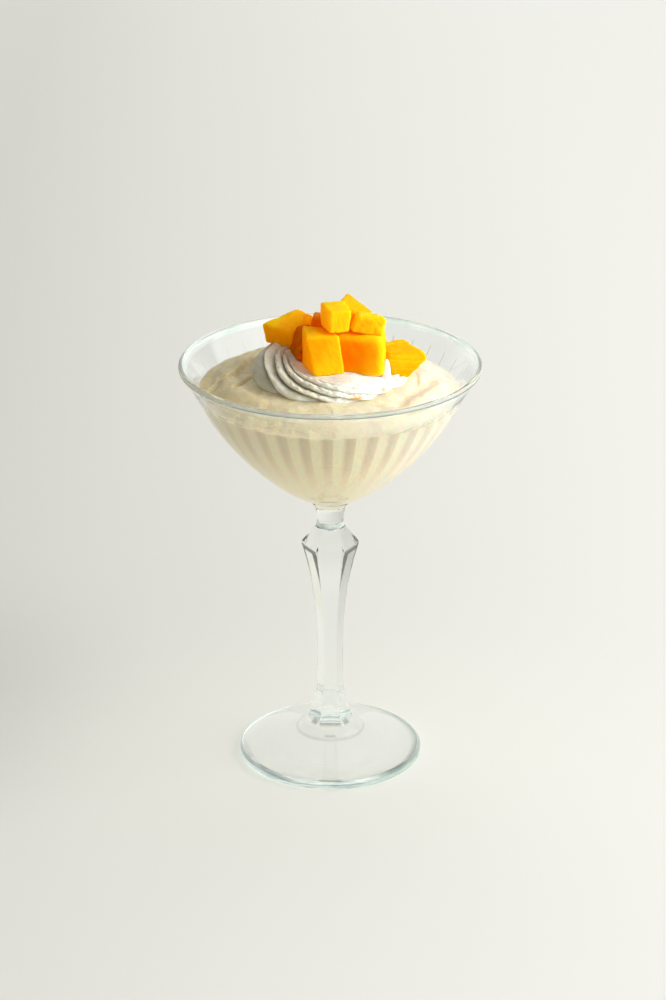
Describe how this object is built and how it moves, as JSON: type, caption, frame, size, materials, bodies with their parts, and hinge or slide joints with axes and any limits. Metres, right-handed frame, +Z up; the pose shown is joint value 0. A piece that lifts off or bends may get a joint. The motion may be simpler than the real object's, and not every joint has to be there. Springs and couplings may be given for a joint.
{
  "type": "mango mousse",
  "caption": "Pale mango mousse in a stemmed coupe glass with a fluted bowl, topped with a piped cream rosette and a pile of ripe mango cubes.",
  "frame": {"origin": "centre of the foot's underside, on the surface that the glass stands on", "axes": "+Z up along the stem; -Y towards the front, where a flat of the six-sided stem faces; +X to the right seen from the front"},
  "size_m": [0.105, 0.105, 0.1724],
  "materials": {
    "glass": "clear pressed glass, fire-polished",
    "mousse": "smooth, moist, finely aerated",
    "cream": "whipped cream, matt, a little grainy on the ridges",
    "mango": "cut ripe mango, fibrous and juicy"
  },
  "bodies": {
    "root": {"glass": "glass", "mousse": "mousse", "cream": "cream", "mango_front": "mango", "mango_front_right": "mango", "mango_top_front": "mango", "mango_top_right": "mango", "mango_right": "mango", "mango_left": "mango", "mango_front_left": "mango", "mango_top_left": "mango", "mango_top_back": "mango", "mango_back": "mango", "mango_back_right": "mango"}
  },
  "joints": []
}
